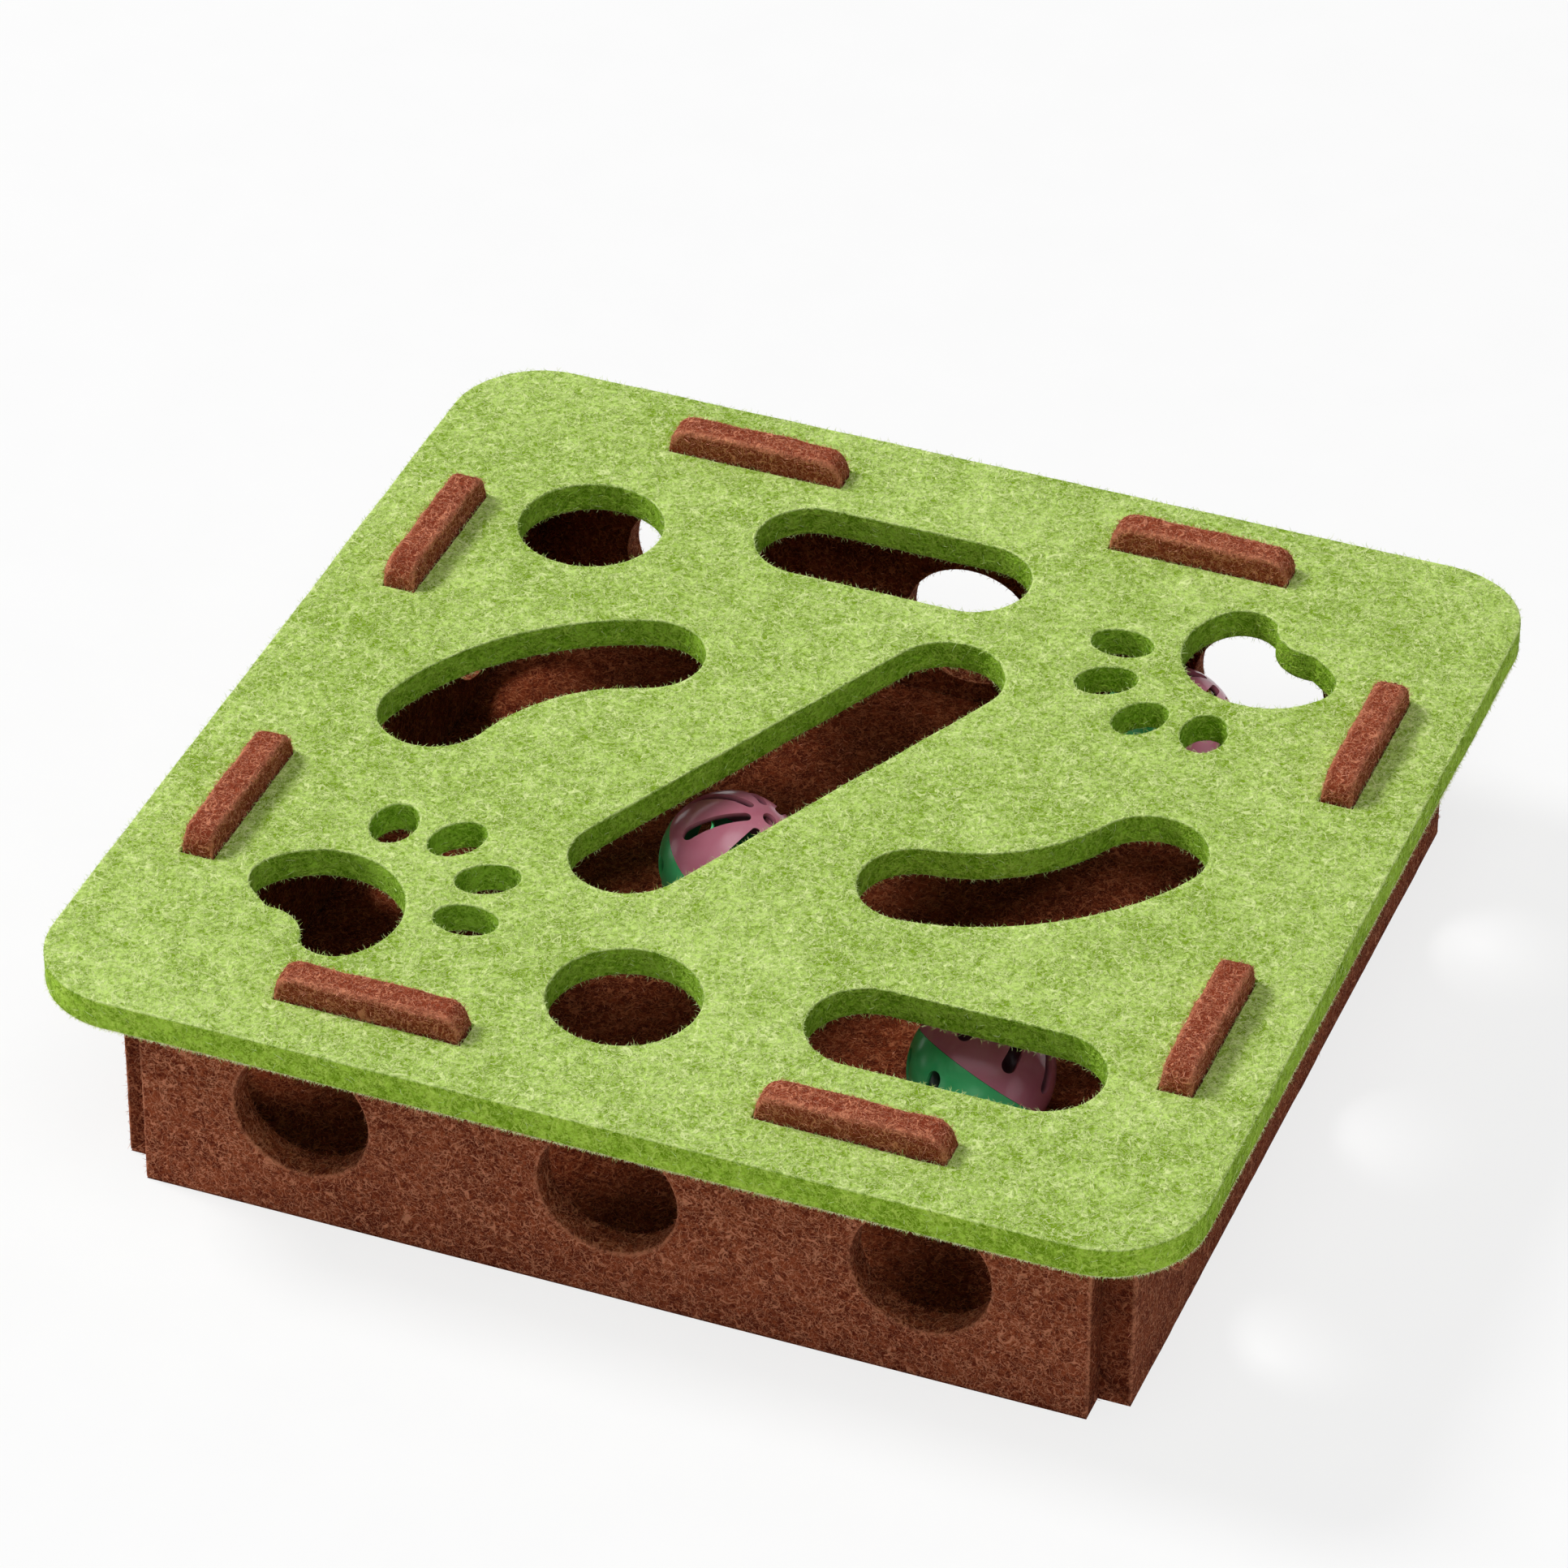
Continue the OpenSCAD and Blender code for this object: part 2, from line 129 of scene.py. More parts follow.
def look_along(obj, at, aim, roll=0.0):
    """Puts obj at a point with its -Z towards another, turned about that line by roll."""
    obj.location = at
    turn = (Vector(aim) - Vector(at)).to_track_quat("-Z", "Y").to_matrix()
    obj.rotation_euler = (turn @ Matrix.Rotation(roll, 3, "Z")).to_euler()


# Materials

MIDDLE = 0.5  # middle value of a noise field
SPREAD = (0.3, 0.7)  # most of its values lie between these
NARROW_SPREAD = (0.35, 0.65)


def new_material(name):
    mat = bpy.data.materials.new(name)
    mat.use_nodes = True
    tree = mat.node_tree
    return mat, tree, tree.nodes["Principled BSDF"]


def add(tree, kind, values=None, **settings):
    """A new node with its settings, and its input sockets set to values or linked to sockets."""
    node = tree.nodes.new(kind)
    for key, value in settings.items():
        setattr(node, key, value)
    for key, value in (values or {}).items():
        socket = node.inputs[key]
        if isinstance(value, bpy.types.NodeSocket):
            tree.links.new(value, socket)
        else:
            socket.default_value = value
    return node


def math_node(tree, operation, a, b=0.0, c=0.0, clamp=False):
    node = add(tree, "ShaderNodeMath", {0: a, 1: b, 2: c}, operation=operation, use_clamp=clamp)
    return node.outputs[0]


def noise_node(tree, coords, scale, detail=2.0, roughness=0.55, distortion=0.0):
    settings = {"Scale": scale, "Detail": detail, "Roughness": roughness, "Distortion": distortion}
    return add(tree, "ShaderNodeTexNoise", {"Vector": coords, **settings}).outputs["Fac"]


def remap(tree, value, low, high, to_low=0.0, to_high=1.0, smooth=False):
    node = add(
        tree,
        "ShaderNodeMapRange",
        {"Value": value, "From Min": low, "From Max": high, "To Min": to_low, "To Max": to_high},
        interpolation_type="SMOOTHSTEP" if smooth else "LINEAR",
    )
    return node.outputs["Result"]


def mix_colour(tree, factor, a, b, blend="MIX"):
    node = add(tree, "ShaderNodeMix", data_type="RGBA", blend_type=blend, clamp_result=True)
    for socket, value in ((node.inputs[0], factor), (node.inputs[6], a), (node.inputs[7], b)):
        if isinstance(value, bpy.types.NodeSocket):
            tree.links.new(value, socket)
        elif isinstance(value, float):
            socket.default_value = value
        else:
            socket.default_value = (*value, 1.0)
    return node.outputs[2]


def bump_normal(tree, shader, height, strength, depth):
    """Bumps a surface by a height field, up to a depth in metres."""
    bump = add(tree, "ShaderNodeBump", {"Height": height, "Strength": strength, "Distance": depth})
    tree.links.new(bump.outputs["Normal"], shader.inputs["Normal"])


def attribute(tree, name):
    return add(tree, "ShaderNodeAttribute", attribute_name=name).outputs["Fac"]


STRAND_NOISE = (1.5, 0.5, 0.8)  # detail, roughness, distortion


def strands(tree, coords, scale, width, shift):
    """Thin curling lines, like fibres: where a noise field crosses its middle value."""
    moved = add(tree, "ShaderNodeVectorMath", {0: coords, 1: shift}, operation="ADD").outputs[0]
    field = noise_node(tree, moved, scale, *STRAND_NOISE)
    away = math_node(tree, "ABSOLUTE", math_node(tree, "SUBTRACT", field, MIDDLE))
    return remap(tree, away, 0.0, width, 1.0, 0.0, smooth=True)


FELT_LAYERS = (  # scale and weight of the tone's uneven layers, from clouds to grain
    (24.0, 0.24),
    (85.0, 0.36),
    (300.0, 0.58),
    (850.0, 0.90),
    (1900.0, 0.40),
)
LAYER_NOISE = (2.0, 0.6, 0.3)  # detail, roughness, distortion
PALE_STRANDS = (  # scale, width and shift of the nets of pale fibres
    (230.0, 0.022, (0.0, 0.0, 0.0)),
    (420.0, 0.026, (3.1, 1.7, 0.4)),
    (760.0, 0.030, (9.2, 5.5, 8.1)),
)
DEEP_STRANDS = (410.0, 0.026, (7.3, 2.9, 5.2))  # the same of the net of dark fibres
INNER_PAINTED_SHADE = (0.56, 0.45, 0.35)  # painted shade: deeper tone of the felt inside the box
TAB_TONE = (0.27, 0.050, 0.022)  # redder, evener tone of the tabs above the lid
TAB_SHARE = 0.6
HOLE_PAINTED_SHADE = (0.68, 0.88, 0.28)  # painted shade: deeper, more saturated green inside the lid's cut-outs
WEAR_AND_HIGHLIGHT_TONES = (0.2, 0.8)  # a rim's pale line, wear and a painted edge highlight, grows between these tones
PALE_HEIGHT = 0.6  # height of a pale fibre against the full range of tones
FELT_BUMP = (0.6, 0.0005)  # strength and depth
FELT_ROUGHNESS = 0.95
FELT_SPECULAR = 0.06


def felt_material(name, contrast, dark, light, fleck, pale_share, shade, deep_share, cut, wear_and_highlight):
    """Heathered felt: patches of two tones, pale and dark fibres, rims pale from rubbing with a
    painted edge highlight, deeper cut faces, and painted shade in the lid's cut-outs and inside the
    box.
    """
    mat, tree, shader = new_material(name)
    coords = add(tree, "ShaderNodeTexCoord").outputs["Object"]
    tone = MIDDLE
    for scale, weight in FELT_LAYERS:
        grain = noise_node(tree, coords, scale, *LAYER_NOISE)
        swing = weight * contrast / 2
        uneven = remap(tree, grain, *SPREAD, -swing, swing)
        tone = math_node(tree, "ADD", uneven, tone)
    tone = math_node(tree, "ADD", tone, 0.0, clamp=True)
    colour = mix_colour(tree, tone, dark, light)
    pale = 0.0
    for scale, width, shift in PALE_STRANDS:
        pale = math_node(tree, "MAXIMUM", strands(tree, coords, scale, width, shift), pale)
    deep = strands(tree, coords, *DEEP_STRANDS)
    for factor, share, paint in (
        (attribute(tree, "tab"), TAB_SHARE, TAB_TONE),
        (deep, deep_share, shade),
        (pale, pale_share, fleck),
    ):
        colour = mix_colour(tree, math_node(tree, "MULTIPLY", factor, share), colour, paint)
    # painted shade: hole darkens the walls of the lid's cut-outs, inner darkens the felt inside the
    # box
    for part, tint in (("cut", cut), ("hole", HOLE_PAINTED_SHADE), ("inner", INNER_PAINTED_SHADE)):
        colour = mix_colour(tree, attribute(tree, part), colour, tint, "MULTIPLY")
    # pale line at the bends: wear and a painted edge highlight
    rim_wear_and_highlight = remap(tree, tone, *WEAR_AND_HIGHLIGHT_TONES, *wear_and_highlight)
    rim_wear_and_highlight = math_node(tree, "MULTIPLY", attribute(tree, "rim"), rim_wear_and_highlight, clamp=True)
    tree.links.new(mix_colour(tree, rim_wear_and_highlight, colour, fleck), shader.inputs["Base Color"])
    height = math_node(tree, "ADD", math_node(tree, "MULTIPLY", pale, PALE_HEIGHT), tone)
    bump_normal(tree, shader, height, *FELT_BUMP)
    shader.inputs["Roughness"].default_value = FELT_ROUGHNESS
    shader.inputs["Specular IOR Level"].default_value = FELT_SPECULAR
    return mat


FIBRE_NOISE = (700.0, 1.0)  # scale, detail
FIBRE_ROUGHNESS = 0.8
FIBRE_SPECULAR = 0.1


def fibre_material(name, dark, light):
    """Loose fibres, each a little different in tone."""
    mat, tree, shader = new_material(name)
    coords = add(tree, "ShaderNodeTexCoord").outputs["Object"]
    tone = remap(tree, noise_node(tree, coords, *FIBRE_NOISE), *NARROW_SPREAD)
    tree.links.new(mix_colour(tree, tone, dark, light), shader.inputs["Base Color"])
    shader.inputs["Roughness"].default_value = FIBRE_ROUGHNESS
    shader.inputs["Specular IOR Level"].default_value = FIBRE_SPECULAR
    return mat


SHELL_T = 0.0016  # thickness of a ball's shell
SHELL_SKIN = 0.3  # share of that thickness, from outside, that keeps its full colour
# painted shade for the inner side of a ball's shell
SHELL_SHADE = (0.22, 0.22, 0.22)
FLOW_NOISE = (90.0, 3.0, 0.55, 1.2)  # scale, detail, roughness, distortion
SCUFF_NOISE = (420.0, 4.0, 0.65)
SCUFF_SPREAD = (0.35, 0.75)
PLASTIC_ROUGHNESS = (0.16, 0.30)
PLASTIC_GRAIN = (800.0, 2.0)
PLASTIC_BUMP = (0.12, 0.0002)  # strength and depth
PLASTIC_SPECULAR = 0.35
COAT_WEIGHT = 0.05
COAT_ROUGHNESS = 0.10


def plastic_material(name, deep, bright, centre, radius):
    """Moulded plastic of a ball with faint flow marks and scuffs, and painted shade on the ball's
    inside.
    """
    mat, tree, shader = new_material(name)
    coords = add(tree, "ShaderNodeTexCoord").outputs["Object"]
    flow = noise_node(tree, coords, *FLOW_NOISE)
    colour = mix_colour(tree, remap(tree, flow, *SPREAD), deep, bright)
    spoke = add(tree, "ShaderNodeVectorMath", {0: coords, 1: centre}, operation="SUBTRACT")
    reach = add(tree, "ShaderNodeVectorMath", {0: spoke.outputs[0]}, operation="LENGTH")
    inner_shade_share = remap(
        tree, reach.outputs["Value"], radius - SHELL_T, radius - SHELL_SKIN * SHELL_T, 1.0, 0.0
    )
    # painted shade: the shell's inner side darkened
    colour = mix_colour(tree, inner_shade_share, colour, SHELL_SHADE, "MULTIPLY")
    tree.links.new(colour, shader.inputs["Base Color"])
    scuffs = noise_node(tree, coords, *SCUFF_NOISE)
    dulled = remap(tree, scuffs, *SCUFF_SPREAD, *PLASTIC_ROUGHNESS)
    tree.links.new(dulled, shader.inputs["Roughness"])
    bump_normal(tree, shader, noise_node(tree, coords, *PLASTIC_GRAIN), *PLASTIC_BUMP)
    shader.inputs["Specular IOR Level"].default_value = PLASTIC_SPECULAR
    shader.inputs["Coat Weight"].default_value = COAT_WEIGHT
    shader.inputs["Coat Roughness"].default_value = COAT_ROUGHNESS
    return mat


TARNISH_NOISE = (260.0, 4.0, 0.6, 0.6)  # scale, detail, roughness, distortion
SCRATCHES = (900.0, 0.02, (1.3, 4.4, 2.1))  # scale, width, shift
METAL_BUMP = (0.1, 0.0001)  # strength and depth


def metal_material(name, dull, bright, low, high):
    """Pressed or drawn metal with cloudy tarnish and fine scratches."""
    mat, tree, shader = new_material(name)
    coords = add(tree, "ShaderNodeTexCoord").outputs["Object"]
    cloud = noise_node(tree, coords, *TARNISH_NOISE)
    colour = mix_colour(tree, remap(tree, cloud, *NARROW_SPREAD), dull, bright)
    tree.links.new(colour, shader.inputs["Base Color"])
    tree.links.new(remap(tree, cloud, *SPREAD, high, low), shader.inputs["Roughness"])
    bump_normal(tree, shader, strands(tree, coords, *SCRATCHES), *METAL_BUMP)
    shader.inputs["Metallic"].default_value = 1.0
    return mat


GREEN_FELT = felt_material(
    "green_felt",
    contrast=1.15,
    dark=(0.20, 0.34, 0.014),
    light=(0.57, 0.78, 0.195),
    fleck=(0.86, 0.97, 0.44),
    pale_share=0.70,
    shade=(0.12, 0.23, 0.01),
    deep_share=0.20,
    cut=(0.75, 0.89, 0.33),
    wear_and_highlight=(0.15, 0.60),
)
BROWN_FELT = felt_material(
    "brown_felt",
    contrast=1.5,
    dark=(0.118, 0.0175, 0.0068),
    light=(0.32, 0.073, 0.029),
    fleck=(0.76, 0.30, 0.165),
    pale_share=0.85,
    shade=(0.07, 0.012, 0.005),
    deep_share=0.15,
    # on the walls this cut tint is partly painted shade: it darkens their end faces, set back at
    # the corners
    cut=(0.62, 0.54, 0.48),
    wear_and_highlight=(0.20, 0.62),
)
RIM_FIBRE = fibre_material("rim_fibre", (0.74, 0.80, 0.36), (0.96, 0.97, 0.66))
GREEN_FIBRE = fibre_material("green_fibre", (0.46, 0.66, 0.14), (0.82, 0.93, 0.46))
TAB_FIBRE = fibre_material("tab_fibre", (0.32, 0.055, 0.024), (0.85, 0.38, 0.25))
BROWN_FIBRE = fibre_material("brown_fibre", (0.36, 0.075, 0.030), (0.86, 0.36, 0.21))
BELL_METAL = metal_material("bell_metal", (0.62, 0.61, 0.58), (0.84, 0.84, 0.82), 0.12, 0.32)
PELLET_METAL = metal_material("pellet_metal", (0.36, 0.36, 0.37), (0.56, 0.56, 0.58), 0.25, 0.45)


# Felt boards, made from the outlines of their CAD nodes


def cad_bmesh(node):
    """A CAD node's mesh as a new bmesh, with the copies of its points along sharp edges merged."""
    bm = bmesh.new()
    bm.from_mesh(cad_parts[node].data)
    bmesh.ops.remove_doubles(bm, verts=bm.verts, dist=TWIN)
    bm.normal_update()
    return bm


def face_outlines(bm, direction):
    """Closed outlines of the flat face farthest along direction, with the solid on their left."""
    reach = max(v.co.dot(direction) for v in bm.verts)
    flat = {
        f
        for f in bm.faces
        if f.normal.dot(direction) > FACING
        and abs(f.calc_center_median().dot(direction) - reach) < FLUSH
    }
    following = {}
    for f in flat:
        for loop in f.loops:
            if not any(other in flat for other in loop.edge.link_faces if other is not f):
                following[loop.vert] = loop.link_loop_next.vert
    outlines = []
    while following:
        start, at = next(iter(following.items()))
        points = [start.co.copy()]
        del following[start]
        while at is not start:
            points.append(at.co.copy())
            at = following.pop(at)
        outlines.append(points)
    return reach, outlines


def flat_axes(direction):
    """Two axes in the plane across direction, right-handed with it."""
    up = Vector((0, 0, 1)) if abs(direction.z) < 0.5 else Vector((0, 1, 0))
    across = up.cross(direction).normalized()
    return across, direction.cross(across).normalized()


def turns(points):
    """Turning angle at each point of a closed outline."""
    before = points - np.roll(points, 1, axis=0)
    after = np.roll(points, -1, axis=0) - points
    cross = before[:, 0] * after[:, 1] - before[:, 1] * after[:, 0]
    return np.arctan2(cross, (before * after).sum(1))


def stretches(points):
    """The outline cut at its corners, from the lowest left one on; one closed stretch if none."""
    corners = np.flatnonzero(np.abs(turns(points)) > CORNER)
    marks = points[corners] if len(corners) else points
    first = int(np.argmin(marks @ LOW_LEFT))
    start = int(corners[first]) if len(corners) else first
    points = np.roll(points, -start, axis=0)
    corners = np.sort((corners - start) % len(points)) if len(corners) else np.array([0])
    closed = np.vstack([points, points[:1]])
    ends = [*corners[1:], len(points)]
    return [closed[a : b + 1] for a, b in zip(corners, ends)]


def spaced(line, count):
    """The points that divide a line into count equal steps, without its last one."""
    run = np.concatenate([[0.0], np.cumsum(np.linalg.norm(np.diff(line, axis=0), axis=1))])
    at = np.linspace(0.0, run[-1], count + 1)[:-1]
    return np.column_stack([np.interp(at, run, line[:, k]) for k in (0, 1)])


def outward(points):
    """Directions away from the solid on an outline's left, longer at corners for even insets."""
    before = points - np.roll(points, 1, axis=0)
    after = np.roll(points, -1, axis=0) - points
    before /= np.linalg.norm(before, axis=1)[:, None]
    after /= np.linalg.norm(after, axis=1)[:, None]
    normal = np.column_stack([before[:, 1] + after[:, 1], -before[:, 0] - after[:, 0]])
    normal /= np.linalg.norm(normal, axis=1)[:, None]
    across = np.column_stack([after[:, 1], -after[:, 0]])
    return normal / np.clip((normal * across).sum(1), 1 / MITRE_MAX, 1.0)[:, None]


def inside(points, outlines):
    """Which points lie inside the outlines, counting holes."""
    hit = np.zeros(len(points), bool)
    for line in outlines:
        a, b = line, np.roll(line, -1, axis=0)
        for (ax, ay), (bx, by) in zip(a, b):
            if ay != by:
                spans = (points[:, 1] < max(ay, by)) & (points[:, 1] >= min(ay, by))
                hit ^= spans & (points[:, 0] < ax + (points[:, 1] - ay) * (bx - ax) / (by - ay))
    return hit


def fill_face(outlines, rng):
    """Triangles over the outlines: (points, triangles), with the outlines' own points first."""
    rim = np.vstack(outlines)
    low, high = rim.min(0), rim.max(0)

    def stray():
        return rng.uniform(-CAP_JITTER, CAP_JITTER) * CAP_STEP

    grid = [
        (x + stray(), y + stray())
        for x in np.arange(low[0], high[0], CAP_STEP)
        for y in np.arange(low[1], high[1], CAP_STEP)
    ]
    grid = np.array(grid)
    grid = grid[inside(grid, outlines)]
    near = np.array([((rim - p) ** 2).sum(1).min() for p in grid])
    grid = grid[near > (CAP_CLEAR * CAP_STEP) ** 2]
    edges, first = [], 0
    for line in outlines:
        n = len(line)
        edges += [(first + i, first + (i + 1) % n) for i in range(n)]
        first += n
    points = np.vstack([rim, grid])
    millimetres = [Vector(p) for p in points * 1000.0]
    triangles_inside, epsilon = 1, 1e-6
    made = geometry.delaunay_2d_cdt(millimetres, edges, [], triangles_inside, epsilon)
    number = [origins[0] for origins in made[3]]
    triangles = np.array([[number[i] for i in f] for f in made[2]])
    keep = inside(points[triangles].mean(1), outlines)
    return points, triangles[keep]


def smooth_step(values, low, high):
    share = np.clip((values - low) / (high - low), 0.0, 1.0)
    return share * share * (3 - 2 * share)


def felt_board(name, node, direction, rng, wall=False):
    """A felt board in a CAD node's place: its outlines, with soft edges, joined from face to face.
    Returns the object, and for each edge the points and directions that loose fibres grow from."""
    direction = Vector(direction)
    bm = cad_bmesh(node)
    reach, front = face_outlines(bm, direction)
    back_reach, back = face_outlines(bm, -direction)
    bm.free()
    thick = reach + back_reach
    axes = np.array([a[:] for a in flat_axes(direction)])
    normal = np.array(direction[:])

    def flatten(points):
        flat = np.array([p[:] for p in points]) @ axes.T
        if wall:
            flat[:, 0] *= 1 + END_GROW / np.abs(flat[:, 0]).max()
        return flat

    def place(points):
        low, high = points.min(0), points.max(0)
        return round(low[0] + high[0], 4), round(high[1], 4)

    def softness(points, inner):
        if not wall:
            return np.full(len(points), EDGE_R)
        base = INNER_EDGE_R if inner else WALL_EDGE_R
        return base + (TAB_EDGE_R - base) * smooth_step(points[:, 1], LID_TOP, LID_TOP + RAMP)

    def above_lid(flat):
        return smooth_step(flat[:, 1], LID_LOW, LID_TOP) if wall else np.zeros(len(flat))

    front = sorted((flatten(o) for o in front), key=place)
    back = sorted((flatten(o)[::-1] for o in back), key=place)
    points, faces = [], []
    looks = {"rim": [], "cut": [], "hole": [], "inner": [], "tab": []}
    outer = max(range(len(front)), key=lambda i: np.ptp(front[i], axis=0).sum())
    first = 0
    borders = ([], [])
    fibre_lines = []
    bends = [math.pi / 2 * k / EDGE_STEPS for k in range(EDGE_STEPS + 1)]
    for loop, (a, b) in enumerate(zip(front, back)):
        in_hole = loop != outer
        cut_a, cut_b = stretches(a), stretches(b)
        runs = [np.linalg.norm(np.diff(s, axis=0), axis=1).sum() for s in cut_a]
        counts = [max(2, round(run / RIM_STEP)) for run in runs]
        a, b = (np.vstack([spaced(s, n) for s, n in zip(cut, counts)]) for cut in (cut_a, cut_b))
        out_a, out_b = outward(a), outward(b)
        soft_a, soft_b = softness(a, False), softness(b, True)
        rows = []  # depth below the front face, inset from the outline, how far the bend has gone
        for t in bends:
            rows.append((soft_a * (1 - math.cos(t)), soft_a * (1 - math.sin(t)), math.sin(t)))
        for k in range(1, SIDE_STEPS):
            rows.append((soft_a + (thick - soft_a - soft_b) * k / SIDE_STEPS, 0.0 * soft_a, 1.0))
        for t in reversed(bends):
            depth = thick - soft_b * (1 - math.cos(t))
            rows.append((depth, soft_b * (1 - math.sin(t)), math.sin(t)))
        n = len(a)
        for k, (depth, inset, side) in enumerate(rows):
            share = (depth / thick)[:, None]
            flat = (a - out_a * inset[:, None]) * (1 - share) + (b - out_b * inset[:, None]) * share
            points.append(flat @ axes + normal * (reach - depth)[:, None])
            bend = k <= EDGE_STEPS or k >= len(rows) - EDGE_STEPS - 1
            tab = above_lid(flat)
            looks["tab"].append(tab)
            # rim: strongest halfway round a bend, where the painted edge highlight and the wear go
            looks["rim"].append(np.full(n, math.sin(2 * math.asin(side)) if bend else 0.0))
            edge = (1 - tab) * (side * side if bend else 1.0)
            # cut: deeper cut faces; on the walls' ends partly painted shade
            looks["cut"].append(edge * (not in_hole))
            # painted shade on the walls of the lid's cut-outs
            looks["hole"].append(edge * (in_hole and not wall))
            # painted shade on the walls' inner faces
            looks["inner"].append((1 - tab) * (wall and k == len(rows) - 1))
            if k:
                low, high = first + (k - 1) * n, first + k * n
                for i in range(n):
                    j = (i + 1) % n
                    faces.append((low + i, high + i, high + j, low + j))
        borders[0].append((first, a - out_a * soft_a[:, None]))
        borders[1].append((first + (len(rows) - 1) * n, b - out_b * soft_b[:, None]))
        for line, out, soft, side, at in (
            (a, out_a, soft_a, normal, reach),
            (b, out_b, soft_b, -normal, -back_reach),
        ):
            unit = out / np.linalg.norm(out, axis=1)[:, None]
            slant = unit @ axes + side
            slant /= np.linalg.norm(slant, axis=1)[:, None]
            root = (line - unit * soft[:, None]) @ axes + normal * at - side * soft[:, None]
            fibre_lines.append((root + slant * soft[:, None], slant))
        first += n * len(rows)
    for border, at, flip in ((borders[0], reach, False), (borders[1], -back_reach, True)):
        ids = np.concatenate([start + np.arange(len(line)) for start, line in border])
        flat, triangles = fill_face([line for _, line in border], rng)
        tab = above_lid(flat[len(ids) :])
        looks["tab"].append(tab)
        for key in ("rim", "cut", "hole"):
            looks[key].append(0 * tab)
        # painted shade on a wall's inner face
        looks["inner"].append((1 - tab) * (wall and flip))
        extra = flat[len(ids) :] @ axes + normal * at
        ids = np.concatenate([ids, first + np.arange(len(extra))])
        points.append(extra)
        first += len(extra)
        faces += [tuple(t[::-1] if flip else t) for t in ids[triangles].tolist()]
    mesh = bpy.data.meshes.new(name)
    mesh.from_pydata(np.vstack(points).tolist(), [], faces)
    for key, values in looks.items():
        mesh.attributes.new(key, "FLOAT", "POINT").data.foreach_set("value", np.concatenate(values))
    obj = bpy.data.objects.new(name, mesh)
    bpy.context.scene.collection.objects.link(obj)
    soften(mesh, LID_TOP if wall else None)
    return obj, fibre_lines


def soften(mesh, lumps_above=None):
    """Merges doubled points, makes the felt a little uneven and shades it smooth."""
    bm = bmesh.new()
    bm.from_mesh(mesh)
    bmesh.ops.remove_doubles(bm, verts=bm.verts, dist=WELD)
    bmesh.ops.dissolve_degenerate(bm, edges=bm.edges, dist=SLIVER)
    bmesh.ops.recalc_face_normals(bm, faces=bm.faces)
    bm.normal_update()
    moves = []
    for v in bm.verts:
        lift = WAVE * noise.noise(v.co / WAVE_LEN)
        if max(e.calc_length() for e in v.link_edges) < GRAIN_LEN:
            lift += GRAIN * noise.noise(v.co / GRAIN_LEN)
        if lumps_above is not None and v.co.z > lumps_above:
            share = smooth_step(v.co.z, lumps_above, lumps_above + RAMP)
            lift += share * LUMP * noise.noise(v.co / LUMP_LEN)
        moves.append(v.normal * lift)
    for v, move in zip(bm.verts, moves):
        v.co += move
    bm.to_mesh(mesh)
    bm.free()
    mesh.polygons.foreach_set("use_smooth", [True] * len(mesh.polygons))


def fibres(name, hairs, curl, rng):
    """Loose fibres as thin closed spikes with a bend. A hair: its root, way, length and radius."""
    points, faces = [], []
    for root, way, length, radius in hairs:
        way = Vector(way).normalized()
        side = way.orthogonal().normalized()
        side.rotate(Matrix.Rotation(rng.uniform(0, 2 * math.pi), 3, way))
        other = way.cross(side)
        knee = Vector(root) + way * length * HAIR_KNEE
        bent = (way + side * curl * rng.uniform(*HAIR_CURL)).normalized()
        tip = knee + bent * length * (1 - HAIR_KNEE)
        start = Vector(root) - way * radius * HAIR_ROOT
        base = len(points)
        for centre, r in ((start, radius), (knee, radius * HAIR_TAPER)):
            for k in range(HAIR_SIDES):
                a = 2 * math.pi * k / HAIR_SIDES
                points.append(centre + (side * math.cos(a) + other * math.sin(a)) * r)
        points.append(tip)
        low, high, top = base, base + HAIR_SIDES, base + 2 * HAIR_SIDES
        faces.append(tuple(low + k for k in reversed(range(HAIR_SIDES))))
        for k in range(HAIR_SIDES):
            j = (k + 1) % HAIR_SIDES
            faces.append((low + k, low + j, high + j, high + k))
            faces.append((high + k, high + j, top))
    mesh = bpy.data.meshes.new(name)
    mesh.from_pydata([p[:] for p in points], [], faces)
    obj = bpy.data.objects.new(name, mesh)
    bpy.context.scene.collection.objects.link(obj)
    return obj


def edge_hairs(lines, per_metre, longest, rng, test):
    """Hairs that stand out along a board's edges, where test says so of their roots."""
    hairs = []
    for roots, out in lines:
        for i, root in enumerate(roots):
            after = roots[(i + 1) % len(roots)]
            step = np.linalg.norm(after - root)
            want = step * per_metre
            count = int(want) + (rng.random() < want - int(want))
            for _ in range(count):
                share = rng.random()
                along = (after - root) / max(step, 1e-9)
                spread = np.array([rng.uniform(-1, 1) for _ in range(3)])
                way = out[i] + along * rng.uniform(-EDGE_SLANT, EDGE_SLANT) + spread * EDGE_SPREAD
                at = root * (1 - share) + after * share
                length = longest * rng.uniform(*EDGE_LENGTHS)
                if test(at):
                    hairs.append((at, way, length, HAIR_R))
    return hairs


